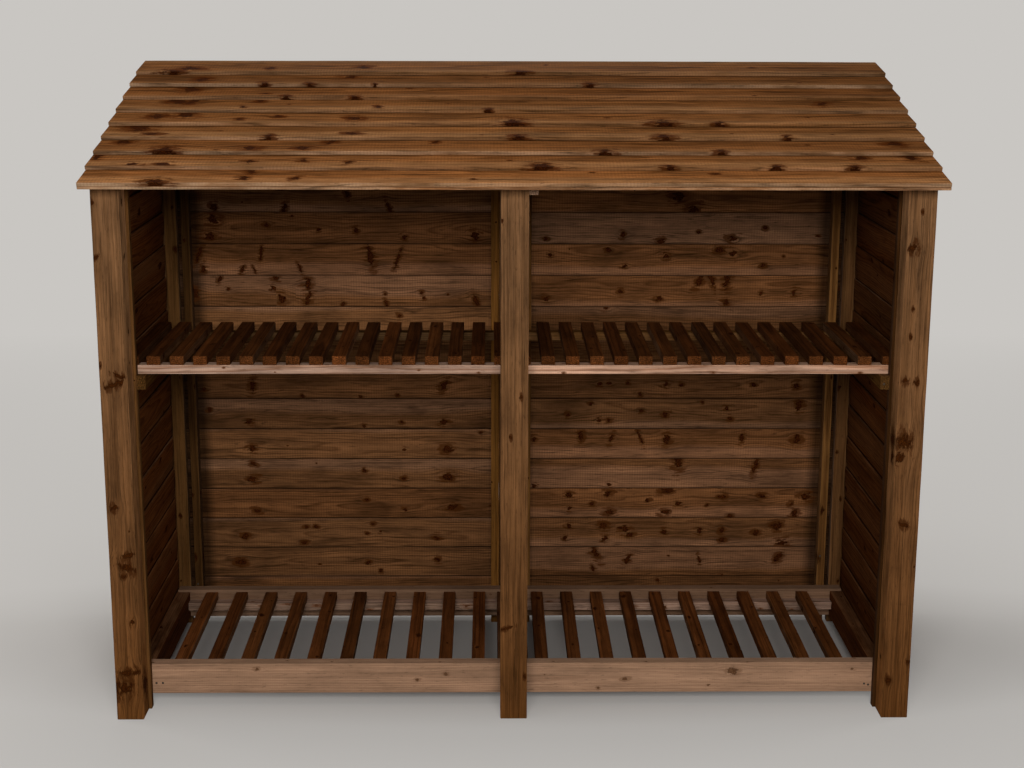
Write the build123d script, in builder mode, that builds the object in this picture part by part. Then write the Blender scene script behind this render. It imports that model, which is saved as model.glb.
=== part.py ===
from build123d import *
import os
from math import cos, radians, sin, tan

# Overall sizes, in millimetres: +X to the right, -Y to the open front, +Z up
frame_width = 2236  # over the corner posts
frame_depth = 856  # over the front and back posts
eave_height = 1504  # underside of the eave
roof_pitch = 16.7  # degrees
eave_overhang = 65  # roof in front of the posts
back_overhang = 38  # roof behind the posts
verge_overhang = 17  # roof past the posts at each end

# Sawn timber sections
post_size = 75
batten_wide = 38
batten_thin = 25
rail_height = 90

# Feather-edge boards
roof_board_width = 150
roof_board_thick_edge = 11.5
roof_board_thin_edge = 5.5
roof_board_count = 9
eave_strip_thickness = 8  # tilts the lowest roof board as much as the others
wall_board_width = 125
wall_board_thick_edge = 14.5
wall_board_thin_edge = 6
side_course = 102.3
back_course = 99.4
side_boards_bottom = -13  # of a whole board; the lowest one is ripped down
back_boards_bottom = 19
wall_clearance = 12  # lowest board above the ground
narrowest_board = 30  # left of a top board after it is cut to the roof

# Small gap where timbers meet
fit_gap = 0.3

# Slatted floor
floor_rail_bottom = 37
floor_slat_drop = 7  # slats below the top of their rails
floor_slat_count = 10
floor_wall_margin = {"left": 91, "right": 111}  # panel end to the first slat
floor_middle_margin = {"left": 76, "right": 59}

# Slatted shelf
shelf_top = 1027
shelf_setback = 5  # shelf rail behind the front stiles
shelf_depth = 501
shelf_inner_slat_count = {"left": 16, "right": 15}  # beside the one at the wall
shelf_wall_margin = {"left": 60, "right": 82}
shelf_middle_margin = {"left": 11, "right": 2}
shelf_wall_slat_inset = {"left": 0, "right": 14}  # panel end to the slat at the wall

# Places across the store
stile_reveal = 8  # stiles stand in past the posts
stile_batten_gap = 14  # between the back stiles and the back panels' outer battens
bay_outer_tuck = 36  # slatted panels reach this far behind the stiles
bay_inner_end = 6  # and stop this far from the middle line

# Depths, counted from the eave to the back of the roof, centred on the origin
slope = radians(roof_pitch)
roof_slope_length = (eave_overhang + frame_depth + back_overhang) / cos(slope)
eave_edge = eave_strip_thickness + fit_gap + roof_board_thick_edge
roof_depth = roof_slope_length * cos(slope) + eave_edge * sin(slope)
eave_y = eave_edge * sin(slope) - roof_depth / 2
front_y = eave_y + eave_overhang
front_post_back = front_y + post_size
front_stile_back = front_post_back + batten_thin
back_y = front_y + frame_depth
back_post_front = back_y - post_size
back_stile_front = back_post_front - batten_thin
back_boards_face = back_stile_front + batten_wide
floor_slats_front = front_stile_back + batten_wide
floor_slats_back = back_stile_front - batten_wide
shelf_front = front_stile_back + shelf_setback
shelf_back = shelf_front + shelf_depth

# Heights
floor_rail_top = floor_rail_bottom + rail_height
floor_slat_top = floor_rail_top - floor_slat_drop
floor_slat_bottom = floor_slat_top - batten_thin
shelf_slat_bottom = shelf_top - batten_thin
shelf_rail_bottom = shelf_slat_bottom - batten_thin
bearer_bottom = shelf_rail_bottom - batten_wide
rafter_drop = batten_wide / cos(slope)  # height of a plumb cut across a rafter

# Widths, from the middle line outwards
post_outer_face = frame_width / 2
post_inner_face = post_outer_face - post_size
stile_inner_face = post_inner_face - stile_reveal
stile_outer_face = stile_inner_face + batten_wide
bay_outer_end = stile_inner_face + bay_outer_tuck
back_batten_outer_face = stile_inner_face - stile_batten_gap
middle_face = post_size / 2
back_panel_inner_end = middle_face + fit_gap
back_panel_outer_end = post_inner_face - fit_gap

sides = {"left": -1, "right": 1}
os.makedirs("parts", exist_ok=True)


def roof_height(y):
    return eave_height + (y - eave_y) * tan(slope)


# Corners (along, out) of lapped boards, each thick edge seated on the board below
def lapped_boards(count, course, width, thick_edge, thin_edge, lift=0):
    bare_share = course / width
    boards = []
    for index in range(count):
        start = index * course
        end = start + width
        thick_top = lift + thick_edge
        boards.append([(start, lift), (end, 0), (end, thin_edge), (start, thick_top)])
        lift = fit_gap + thick_top * (1 - bare_share) + thin_edge * bare_share
    return boards


# Lapped wall boards that reach from the foot of a wall to the roof, as corners (up, out)
def wall_boards(bottom, course, y):
    count = int((roof_height(y) - bottom - narrowest_board) / course) + 1
    return lapped_boards(count, course, wall_board_width, wall_board_thick_edge, wall_board_thin_edge)


# A level timber between two corners
def bar(low, high):
    middle = [(a + b) / 2 for a, b in zip(low, high)]
    with Locations(tuple(middle)):
        Box(*[b - a for a, b in zip(low, high)])


# A level timber that may lie on either side of the middle line
def side_bar(sign, near, far, y_span, z_span):
    x_span = sorted((sign * near, sign * far))
    bar((x_span[0], y_span[0], z_span[0]), (x_span[1], y_span[1], z_span[1]))


# A timber that stands on the ground, with its top cut to the slope of the roof
def upright(sign, near, far, y_span, drop):
    front, back = y_span
    with BuildSketch(Plane.YZ.offset(sign * near)) as profile:
        with BuildLine():
            Polyline(
                (front, 0),
                (back, 0),
                (back, roof_height(back) - drop),
                (front, roof_height(front) - drop),
                close=True,
            )
        make_face()
    extrude(profile.sketch, amount=sign * (far - near))


# A rafter on edge under the roof boards, with plumb ends
def rafter(sign, near, far, y_span):
    front, back = y_span
    with BuildSketch(Plane.YZ.offset(sign * near)) as profile:
        with BuildLine():
            Polyline(
                (front, roof_height(front) - fit_gap - rafter_drop),
                (back, roof_height(back) - fit_gap - rafter_drop),
                (back, roof_height(back) - fit_gap),
                (front, roof_height(front) - fit_gap),
                close=True,
            )
        make_face()
    extrude(profile.sketch, amount=sign * (far - near))


# Slat edges spread evenly from one place to another
def spread(first, last, count):
    return [first + (last - first) * index / (count - 1) for index in range(count)]


def save(piece, label):
    piece.part.label = label
    export_step(piece.part, f"parts/{label}.step")


# Posts, the corner ones mirrored and the middle ones on the middle line
front_posts = (front_y, front_post_back)
back_posts = (back_post_front, back_y)
for row, y_span in {"front": front_posts, "back": back_posts}.items():
    for side, sign in sides.items():
        with BuildPart() as corner_post:
            upright(sign, post_inner_face, post_outer_face, y_span, fit_gap)
        save(corner_post, f"{row}_{side}_post")
    with BuildPart() as middle_post:
        upright(1, -middle_face, middle_face, y_span, fit_gap)
    save(middle_post, f"{row}_middle_post")

# Stiles of the side walls, and the one behind the front middle post
front_stiles = (front_post_back, front_stile_back)
back_stiles = (back_stile_front, back_post_front)
stile_drop = rafter_drop + 2 * fit_gap
for row, y_span in {"front": front_stiles, "back": back_stiles}.items():
    for side, sign in sides.items():
        with BuildPart() as stile:
            upright(sign, stile_inner_face, stile_outer_face, y_span, stile_drop)
        save(stile, f"{row}_{side}_stile")
with BuildPart() as middle_stile:
    upright(1, -batten_wide / 2, batten_wide / 2, front_stiles, fit_gap)
save(middle_stile, "front_middle_stile")

# Side walls: lapped boards between the posts, trimmed to the roof and clear of the ground
side_span = back_post_front - front_post_back - 2 * fit_gap
side_middle = (front_post_back + back_post_front) / 2
roof_trim = Plane(
    origin=(0, eave_y, eave_height - fit_gap),
    x_dir=(1, 0, 0),
    z_dir=(0, -sin(slope), cos(slope)),
)
for side, sign in sides.items():
    side_plane = Plane(
        origin=(sign * (stile_outer_face + fit_gap), side_middle, side_boards_bottom),
        x_dir=(0, 0, 1),
        z_dir=(0, sign, 0),
    )
    with BuildPart() as side_boards:
        with BuildSketch(side_plane):
            for corners in wall_boards(side_boards_bottom, side_course, back_post_front):
                Polygon(*corners, align=None)
        extrude(amount=side_span / 2, both=True)
        split(bisect_by=roof_trim, keep=Keep.BOTTOM)
        split(bisect_by=Plane.XY.offset(wall_clearance), keep=Keep.TOP)
    save(side_boards, f"{side}_side_boards")

# Back panels: lapped boards on two battens, one panel each side of the middle post
back_plane = Plane(
    origin=(0, back_boards_face + fit_gap, back_boards_bottom),
    x_dir=(0, 0, 1),
    z_dir=(-1, 0, 0),
)
back_battens = (back_stile_front, back_boards_face)
for side, sign in sides.items():
    with BuildPart() as back_boards:
        with BuildSketch(back_plane.offset(-sign * back_panel_inner_end)):
            for corners in wall_boards(back_boards_bottom, back_course, back_boards_face):
                Polygon(*corners, align=None)
        extrude(amount=-sign * (back_panel_outer_end - back_panel_inner_end))
        split(bisect_by=roof_trim, keep=Keep.BOTTOM)
    save(back_boards, f"back_{side}_boards")
    batten_places = {
        "inner": back_panel_inner_end,
        "outer": back_batten_outer_face - batten_thin,
    }
    for place, near in batten_places.items():
        with BuildPart() as back_batten:
            upright(sign, near, near + batten_thin, back_battens, stile_drop)
        save(back_batten, f"back_{side}_{place}_batten")

# Slatted floor: a frame of rails on edge, ledgers inside its long rails, and slats on the ledgers
rail_heights = (floor_rail_bottom, floor_rail_top)
end_rail_heights = (floor_rail_bottom, floor_slat_top)
ledger_heights = (floor_slat_bottom - batten_thin, floor_slat_bottom)
slat_heights = (floor_slat_bottom, floor_slat_top)
slat_depths = (floor_slats_front + fit_gap, floor_slats_back - fit_gap)
rail_ends = (bay_inner_end, bay_outer_end)
ledger_ends = (
    bay_inner_end + batten_wide + fit_gap,
    bay_outer_end - batten_wide - fit_gap,
)
floor_bars = {
    "front_rail": (rail_ends, (front_stile_back, floor_slats_front), rail_heights),
    "rear_rail": (rail_ends, (floor_slats_back, back_stile_front), rail_heights),
    "front_ledger": (ledger_ends, (floor_slats_front, floor_slats_front + batten_wide), ledger_heights),
    "rear_ledger": (ledger_ends, (floor_slats_back - batten_wide, floor_slats_back), ledger_heights),
}
for side, sign in sides.items():
    for place, ((near, far), y_span, z_span) in floor_bars.items():
        with BuildPart() as floor_bar:
            side_bar(sign, near, far, y_span, z_span)
        save(floor_bar, f"floor_{side}_{place}")
    with BuildPart() as end_rails:
        for near in (bay_inner_end, bay_outer_end - batten_wide):
            side_bar(sign, near, near + batten_wide, slat_depths, end_rail_heights)
    save(end_rails, f"floor_{side}_end_rails")
    slat_starts = spread(
        bay_inner_end + floor_middle_margin[side],
        bay_outer_end - floor_wall_margin[side] - batten_wide,
        floor_slat_count,
    )
    with BuildPart() as floor_slats:
        for near in slat_starts:
            side_bar(sign, near, near + batten_wide, slat_depths, slat_heights)
    save(floor_slats, f"floor_{side}_slats")

# Slatted shelf: slats across two flat rails, on bearers fixed to the stiles and middle posts
shelf_bars = {
    "front_rail": (shelf_front, shelf_front + batten_wide),
    "rear_rail": (shelf_back - batten_wide, shelf_back),
}
bearer_heights = (bearer_bottom, shelf_rail_bottom)
bearer_depths = (front_post_back, back_stile_front)
for side, sign in sides.items():
    for place, y_span in shelf_bars.items():
        with BuildPart() as shelf_bar:
            z_span = (shelf_rail_bottom, shelf_slat_bottom)
            side_bar(sign, bay_inner_end, bay_outer_end, y_span, z_span)
        save(shelf_bar, f"shelf_{side}_{place}")
    slat_starts = spread(
        bay_inner_end + shelf_middle_margin[side],
        bay_outer_end - shelf_wall_margin[side] - batten_wide,
        shelf_inner_slat_count[side],
    )
    wall_slat_start = bay_outer_end - shelf_wall_slat_inset[side] - batten_wide
    with BuildPart() as shelf_slats:
        for near in [*slat_starts, wall_slat_start]:
            z_span = (shelf_slat_bottom, shelf_top)
            side_bar(sign, near, near + batten_wide, (shelf_front, shelf_back), z_span)
    save(shelf_slats, f"shelf_{side}_slats")
    with BuildPart() as side_bearer:
        near = stile_inner_face - batten_thin
        side_bar(sign, near, stile_inner_face, bearer_depths, bearer_heights)
    save(side_bearer, f"shelf_{side}_bearer")
with BuildPart() as middle_bearer:
    bar(
        (-batten_wide / 2, front_stile_back, bearer_bottom),
        (batten_wide / 2, back_post_front, shelf_rail_bottom),
    )
save(middle_bearer, "shelf_middle_bearer")

# Rafters: one on each side wall between the posts, and one beside the middle posts
for side, sign in sides.items():
    with BuildPart() as end_rafter:
        near = stile_outer_face - batten_thin
        rafter(sign, near, stile_outer_face, (front_post_back, back_post_front))
    save(end_rafter, f"roof_{side}_rafter")
with BuildPart() as middle_rafter:
    rafter(1, middle_face, middle_face + batten_thin, (front_y, back_boards_face))
save(middle_rafter, "roof_middle_rafter")

# Roof: full-length boards lapped from the eave up, the lowest one tilted by a strip
roof_plane = Plane(
    origin=(0, eave_y, eave_height),
    x_dir=(0, cos(slope), sin(slope)),
    z_dir=(1, 0, 0),
)
roof_course = (roof_slope_length - roof_board_width) / (roof_board_count - 1)
roof_courses = lapped_boards(
    roof_board_count,
    roof_course,
    roof_board_width,
    roof_board_thick_edge,
    roof_board_thin_edge,
    eave_strip_thickness + fit_gap,
)
with BuildPart() as roof_boards:
    with BuildSketch(roof_plane):
        for corners in roof_courses:
            Polygon(*corners, align=None)
    extrude(amount=post_outer_face + verge_overhang, both=True)
save(roof_boards, "roof_boards")
strip_top = eave_strip_thickness * (1 - batten_thin / roof_board_width)
with BuildPart() as eave_strip:
    with BuildSketch(roof_plane):
        Polygon((0, 0), (batten_thin, 0), (batten_thin, strip_top), (0, eave_strip_thickness), align=None)
    extrude(amount=post_outer_face + verge_overhang, both=True)
save(eave_strip, "roof_eave_strip")
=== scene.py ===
import math
import random

import bmesh
import bpy
from mathutils import Matrix, Vector, noise


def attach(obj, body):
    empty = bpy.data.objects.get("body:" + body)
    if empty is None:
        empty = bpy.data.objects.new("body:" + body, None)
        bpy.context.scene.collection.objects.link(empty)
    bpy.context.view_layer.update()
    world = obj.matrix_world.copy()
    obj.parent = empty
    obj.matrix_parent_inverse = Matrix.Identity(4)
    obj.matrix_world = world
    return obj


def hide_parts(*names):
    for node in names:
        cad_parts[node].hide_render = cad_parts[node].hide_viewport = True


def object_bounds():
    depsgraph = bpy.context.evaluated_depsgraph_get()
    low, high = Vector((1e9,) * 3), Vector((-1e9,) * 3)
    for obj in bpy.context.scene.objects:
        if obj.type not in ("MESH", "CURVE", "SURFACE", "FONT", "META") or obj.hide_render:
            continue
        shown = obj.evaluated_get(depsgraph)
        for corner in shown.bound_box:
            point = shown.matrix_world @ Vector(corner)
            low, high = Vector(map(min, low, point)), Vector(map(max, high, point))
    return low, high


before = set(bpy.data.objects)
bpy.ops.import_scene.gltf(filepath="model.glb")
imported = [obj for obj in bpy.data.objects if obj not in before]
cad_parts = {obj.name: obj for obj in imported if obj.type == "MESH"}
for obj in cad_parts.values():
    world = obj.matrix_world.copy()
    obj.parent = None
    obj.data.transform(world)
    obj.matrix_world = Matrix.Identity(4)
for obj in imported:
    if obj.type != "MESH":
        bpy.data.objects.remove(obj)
cadLow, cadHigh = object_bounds()
scene = bpy.context.scene
mm = 0.001
print("frame loaded:", len(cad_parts), "nodes")


def toLinear(hexColour):  # sRGB hex to linear light
    channels = [int(hexColour[i:i + 2], 16) / 255 for i in (1, 3, 5)]
    return [c / 12.92 if c <= 0.04045 else ((c + 0.055) / 1.055) ** 2.4 for c in channels] + [1]


def startNodes(owner):  # an empty node tree on a material or a world
    owner.use_nodes = True
    owner.node_tree.nodes.clear()
    return owner.node_tree


def addNode(tree, kind, inputs=None, stops=None, **settings):
    node = tree.nodes.new("ShaderNode" + kind)
    for name, value in settings.items():
        setattr(node, name, value)
    if stops:
        ramp = node.color_ramp.elements
        while len(ramp) < len(stops):
            ramp.new(1)
        for element, (place, grey) in zip(ramp, stops):
            element.position = place
            element.color = (grey, grey, grey, 1)
    for key, value in (inputs or {}).items():
        if isinstance(value, bpy.types.Node):
            value = value.outputs[0]
        if isinstance(value, bpy.types.NodeSocket):
            tree.links.new(value, node.inputs[key])
        else:
            node.inputs[key].default_value = value
    return node


def addPiece(name, bm, material):  # the finished bmesh becomes an object at the origin
    mesh = bpy.data.meshes.new(name)
    bm.to_mesh(mesh)
    bm.free()
    mesh.materials.append(material)
    piece = bpy.data.objects.new(name, mesh)
    scene.collection.objects.link(piece)
    return piece


photoCamera = {"lens": 59.385, "sensor": 36, "width": 1024, "height": 768,
               "place": (-0.0667, -4.8602, 1.9970), "turn": -0.7696, "tilt": 77.0349, "roll": 0.1638}
cameraData = bpy.data.cameras.new("camera")
cameraData.sensor_width = photoCamera["sensor"]
cameraData.lens = photoCamera["lens"]
camera = bpy.data.objects.new("camera", cameraData)
scene.collection.objects.link(camera)
cameraTurn = (Matrix.Rotation(math.radians(photoCamera["turn"]), 4, "Z")
              @ Matrix.Rotation(math.radians(photoCamera["tilt"]), 4, "X")
              @ Matrix.Rotation(math.radians(photoCamera["roll"]), 4, "Z"))
camera.matrix_world = Matrix.Translation(photoCamera["place"]) @ cameraTurn
scene.camera = camera


def photoSpot(px, py, point, normal):  # where the line of sight through a photo pixel meets a plane
    pixel = photoCamera["sensor"] / photoCamera["width"] / photoCamera["lens"]
    sight = cameraTurn @ Vector(((px - photoCamera["width"] / 2) * pixel,
                                 (photoCamera["height"] / 2 - py) * pixel, -1))
    start = Vector(photoCamera["place"])
    return start + sight * ((point - start).dot(normal) / sight.dot(normal))


# noise in the wood, its size along and across the grain in mm; the ones that follow bend round knots
# with the rings, and fibre, fleck and pores are drawn coarser than life, to show at this size
woodNoise = {
    "crook": {"along": 23.81, "across": 10.53, "detail": 4.0, "roughness": 0.65},  # outline of knots
    "wander": {"along": 625, "across": 111.1, "detail": 3.0, "roughness": 0.5},  # drift of the rings
    "fibre": {"along": 111.1, "across": 3.0, "detail": 4.0, "roughness": 0.65},
    "streak": {"along": 555.6, "across": 18.18, "detail": 3.0, "roughness": 0.6},
    "line": {"along": 769.2, "across": 11.0, "detail": 2.0, "roughness": 0.5, "follows": True},
    "flame": {"along": 62.5, "across": 7.692, "detail": 4.0, "roughness": 0.7, "follows": True},
    "blotch": {"along": 200, "across": 62.5, "detail": 5.0, "roughness": 0.65},
    "fleck": {"along": 25, "across": 4.167, "detail": 2.0, "roughness": 0.5, "follows": True},
    "pores": {"along": math.inf, "across": 3.846, "detail": 3.0, "roughness": 0.7},  # end grain
}
noiseMiddle = (0.5, 0.5, 0.5)  # what a noise gives on average
waveLength = 0.314  # metres between the bands of a wave texture of scale 1


# Brown dip-stained sawn softwood: soft growth rings along the board with paler sapwood outside them,
# crooked dark knots with a smudge drawn out along the grain, fine fibre, and the ribs of the saw.
def makeWood(name, finish):
    material = bpy.data.materials.new(name)
    tree = startNodes(material)
    own = {key: addNode(tree, "Attribute", attribute_name=key).outputs for key in (
        "grain", "tint", "edgePale", "faceKind", "lapRise", "knotOdd", "knotEven")}
    grain, tint = own["grain"]["Vector"], own["tint"]["Vector"]
    edgePale, faceKind, lapRise = [own[key]["Fac"] for key in ("edgePale", "faceKind", "lapRise")]

    noises = {}
    followers = []
    for key, pattern in woodNoise.items():
        across = finish.get(key + "Gap", pattern["across"])
        scale = [1 / (size * mm) for size in (pattern["along"], across, across)]
        at = addNode(tree, "VectorMath", {0: grain, 1: scale}, operation="MULTIPLY")
        noises[key] = addNode(tree, "TexNoise", {"Vector": at, "Scale": 1.0, "Detail": pattern["detail"],
                                                 "Roughness": pattern["roughness"]})
        if "follows" in pattern:
            followers.append(at)

    crook = addNode(tree, "VectorMath", {0: noises["crook"].outputs["Color"], 1: noiseMiddle},
                    operation="SUBTRACT")
    crook = addNode(tree, "VectorMath", {0: crook, 1: finish["crookPush"]}, operation="MULTIPLY")
    pushes = []
    smudges = []
    distances = []
    for key in ("knotOdd", "knotEven"):  # the two knots nearest to each face
        knot = own[key]["Vector"]
        parts = addNode(tree, "SeparateXYZ", {0: knot})
        flat = addNode(tree, "VectorMath", {0: knot, 1: (1, 1, 0)}, operation="MULTIPLY")
        crooked = addNode(tree, "VectorMath", {0: flat, 1: crook}, operation="ADD")
        distances.append(addNode(tree, "VectorMath", {0: crooked}, operation="LENGTH").outputs["Value"])
        for shape, reach, found in ((flat, finish["bendReach"], pushes),
                                    (crooked, finish["smudgeReach"], smudges)):
            near = addNode(tree, "VectorMath", {0: shape, 1: (1 / reach[0], 1 / reach[1], 0)},
                           operation="MULTIPLY")
            square = addNode(tree, "VectorMath", {0: near, 1: near},
                             operation="DOT_PRODUCT").outputs["Value"]
            minus = addNode(tree, "Math", {0: square, 1: -1.0}, operation="MULTIPLY")
            found.append(addNode(tree, "Math", {0: minus}, operation="EXPONENT"))
        across = addNode(tree, "Math", {0: parts.outputs["Y"], 1: parts.outputs["Z"]},
                         operation="MULTIPLY")
        pushes[-1] = addNode(tree, "Math", {0: across, 1: pushes[-1]}, operation="MULTIPLY")
    push = addNode(tree, "Math", {0: pushes[0], 1: pushes[1]}, operation="ADD")
    smudge = addNode(tree, "Math", {0: smudges[0], 1: smudges[1]}, operation="MAXIMUM")
    knotDistance = addNode(tree, "Math", {0: distances[0], 1: distances[1]}, operation="MINIMUM")

    # growth rings: distance from the pith line, with a slow wander along the timber
    drift = addNode(tree, "VectorMath", {0: noises["wander"].outputs["Color"], 1: noiseMiddle},
                    operation="SUBTRACT")
    driftReach = (0, finish["wander"] * mm, finish["wander"] * mm)
    drift = addNode(tree, "VectorMath", {0: drift, 1: driftReach}, operation="MULTIPLY")
    pushed = addNode(tree, "CombineXYZ", {"Y": push})
    bent = addNode(tree, "VectorMath", {0: grain, 1: pushed}, operation="SUBTRACT")
    bent = addNode(tree, "VectorMath", {0: bent, 1: drift}, operation="ADD")
    for at in followers:
        tree.links.new(bent.outputs[0], at.inputs[0])
    ringAt = addNode(tree, "VectorMath", {0: bent, 1: (0, 1, 1)}, operation="MULTIPLY")
    fromPith = addNode(tree, "VectorMath", {0: ringAt}, operation="LENGTH").outputs["Value"]
    ringCount = addNode(tree, "Math", {0: fromPith, 1: finish["ringWidth"] * mm}, operation="DIVIDE")
    ringShare = addNode(tree, "Math", {0: ringCount}, operation="FRACT")
    ring = addNode(tree, "ValToRGB", {0: ringShare}, stops=finish["ringShade"])
    ribAt = addNode(tree, "VectorMath", {0: grain, 1: finish["ribLean"]}, operation="MULTIPLY")
    ribs = addNode(tree, "TexWave", {"Vector": ribAt, "Scale": waveLength / (finish["ribSpacing"] * mm),
                                     "Distortion": finish["ribWarp"], "Detail": 2.0, "Detail Scale": 1.5},
                   wave_type="BANDS", bands_direction="X").outputs[1]

    # colour: heartwood and sapwood rings, the sawn edges, the shades over both (painted shade along the
    # laps and the wood's figure), then the knots
    heart = addNode(tree, "Mix", {0: ring, 6: toLinear(finish["early"]), 7: toLinear(finish["late"])},
                    data_type="RGBA").outputs[2]
    sap = addNode(tree, "Mix", {0: ring, 6: toLinear(finish["sapEarly"]), 7: toLinear(finish["sapLate"])},
                  data_type="RGBA").outputs[2]
    sapShare = addNode(tree, "MapRange", {0: fromPith, 1: (finish["sapStart"] - finish["sapSoft"]) * mm,
                                          2: (finish["sapStart"] + finish["sapSoft"]) * mm})
    colour = addNode(tree, "Mix", {0: sapShare, 6: heart, 7: sap}, data_type="RGBA").outputs[2]
    colour = addNode(tree, "Mix", {0: 1.0, 6: colour, 7: tint}, data_type="RGBA",
                     blend_type="MULTIPLY").outputs[2]
    edgeTint = addNode(tree, "Mix", {0: finish["edgeFree"], 6: tint, 7: (1, 1, 1, 1)},
                       data_type="RGBA").outputs[2]
    edge = addNode(tree, "Mix", {0: 1.0, 6: toLinear(finish["edge"]), 7: edgeTint}, data_type="RGBA",
                   blend_type="MULTIPLY").outputs[2]
    edgeShare = addNode(tree, "ValToRGB", {0: faceKind}, stops=((0, 0), (0.5, 1), (1, 0)))
    edgeBreak = addNode(tree, "ValToRGB", {0: noises["blotch"]}, stops=finish["edgeBreak"])
    for share in (edgePale, edgeBreak):
        edgeShare = addNode(tree, "Math", {0: edgeShare, 1: share}, operation="MULTIPLY")
    colour = addNode(tree, "Mix", {0: edgeShare, 6: colour, 7: edge}, data_type="RGBA").outputs[2]

    lapShade = addNode(tree, "MapRange", {0: lapRise, 1: 0, 2: finish["lapLine"] * mm,
                                          3: finish["lapPaintedShade"], 4: 1},
                       interpolation_type="SMOOTHSTEP")  # painted shade: a shadow line along each lap, where one board passes behind the next
    ribPatch = addNode(tree, "ValToRGB", {0: noises["blotch"]}, stops=finish["ribPatch"])
    endShare = addNode(tree, "ValToRGB", {0: faceKind}, stops=finish["poreShare"])
    fleckStart, fleckFull = finish["fleckEdge"]
    lineMiddle, lineWidth = finish["lineMiddle"], finish["lineWidth"]
    lineShade = ((lineMiddle - lineWidth, 1), (lineMiddle, finish["lineShade"]),
                 (lineMiddle + lineWidth, 1))
    shades = [(1.0, lapShade)]
    for share, mask, stops in (
            (ribPatch, ribs, finish["ribShade"]),
            (1.0, noises["blotch"], finish["blotchShade"]),
            (1.0, noises["streak"], finish["streakShade"]),
            (1.0, noises["fibre"], finish["fibreShade"]),
            (1.0, noises["fleck"], ((fleckStart, 1), (fleckFull, finish["fleckShade"]))),
            (1.0, noises["line"], lineShade),
            (1.0, faceKind, ((0, 1), (0.5, 1), (1, finish["endShade"]))),
            (endShare, noises["pores"], finish["poreShade"])):  # the speckle of end grain
        shades.append((share, addNode(tree, "ValToRGB", {0: mask}, stops=stops)))
    for share, shade in shades:
        colour = addNode(tree, "Mix", {0: share, 6: colour, 7: shade}, data_type="RGBA",
                         blend_type="MULTIPLY").outputs[2]

    raggedStart, raggedFull = finish["ragged"]
    ragged = addNode(tree, "MapRange", {0: noises["flame"], 1: raggedStart, 2: raggedFull})
    smudgeBreak = addNode(tree, "Math", {0: ragged, 1: smudge}, operation="MULTIPLY")
    smudgeStart, smudgeFull = finish["smudgeEdge"]
    smudgeMask = addNode(tree, "ValToRGB", {0: smudgeBreak},
                         stops=((smudgeStart, 0), (smudgeFull, finish["smudgeShare"])))
    colour = addNode(tree, "Mix", {0: smudgeMask, 6: colour, 7: toLinear(finish["smudge"])},
                     data_type="RGBA").outputs[2]
    knotRings = addNode(tree, "Math", {0: knotDistance, 1: finish["knotRings"]}, operation="MULTIPLY")
    knotRings = addNode(tree, "Math", {0: knotRings}, operation="SINE")
    knotRings = addNode(tree, "ValToRGB", {0: knotRings}, stops=finish["knotRingShare"])
    knotColour = addNode(tree, "Mix", {0: knotRings, 6: toLinear(finish["knot"]),
                                       7: toLinear(finish["knotPale"])}, data_type="RGBA").outputs[2]
    knotRim = addNode(tree, "ValToRGB", {0: knotDistance}, stops=finish["knotRim"])
    knotColour = addNode(tree, "Mix", {0: 1.0, 6: knotColour, 7: knotRim}, data_type="RGBA",
                         blend_type="MULTIPLY").outputs[2]
    knotMask = addNode(tree, "ValToRGB", {0: knotDistance}, stops=finish["knotEdge"])
    colour = addNode(tree, "Mix", {0: knotMask, 6: colour, 7: knotColour}, data_type="RGBA").outputs[2]

    # height in metres: late wood stands proud, ribs and fibre are torn by the saw
    height = addNode(tree, "Math", {0: ring, 1: finish["ringRelief"] * mm}, operation="MULTIPLY")
    for part, relief in ((noises["fibre"], finish["fibreRelief"]), (ribs, finish["ribRelief"])):
        step = addNode(tree, "Math", {0: part, 1: relief * mm}, operation="MULTIPLY")
        height = addNode(tree, "Math", {0: height, 1: step}, operation="ADD")
    bump = addNode(tree, "Bump", {"Height": height, "Strength": finish["bump"], "Distance": 1.0})
    smooth, rough = finish["roughness"]
    roughness = addNode(tree, "MapRange", {0: noises["fibre"], 3: smooth, 4: rough})
    shader = addNode(tree, "BsdfPrincipled", {"Base Color": colour, "Roughness": roughness,
                                              "Specular IOR Level": finish["specular"], "Normal": bump})
    addNode(tree, "OutputMaterial", {"Surface": shader})
    return material


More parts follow.
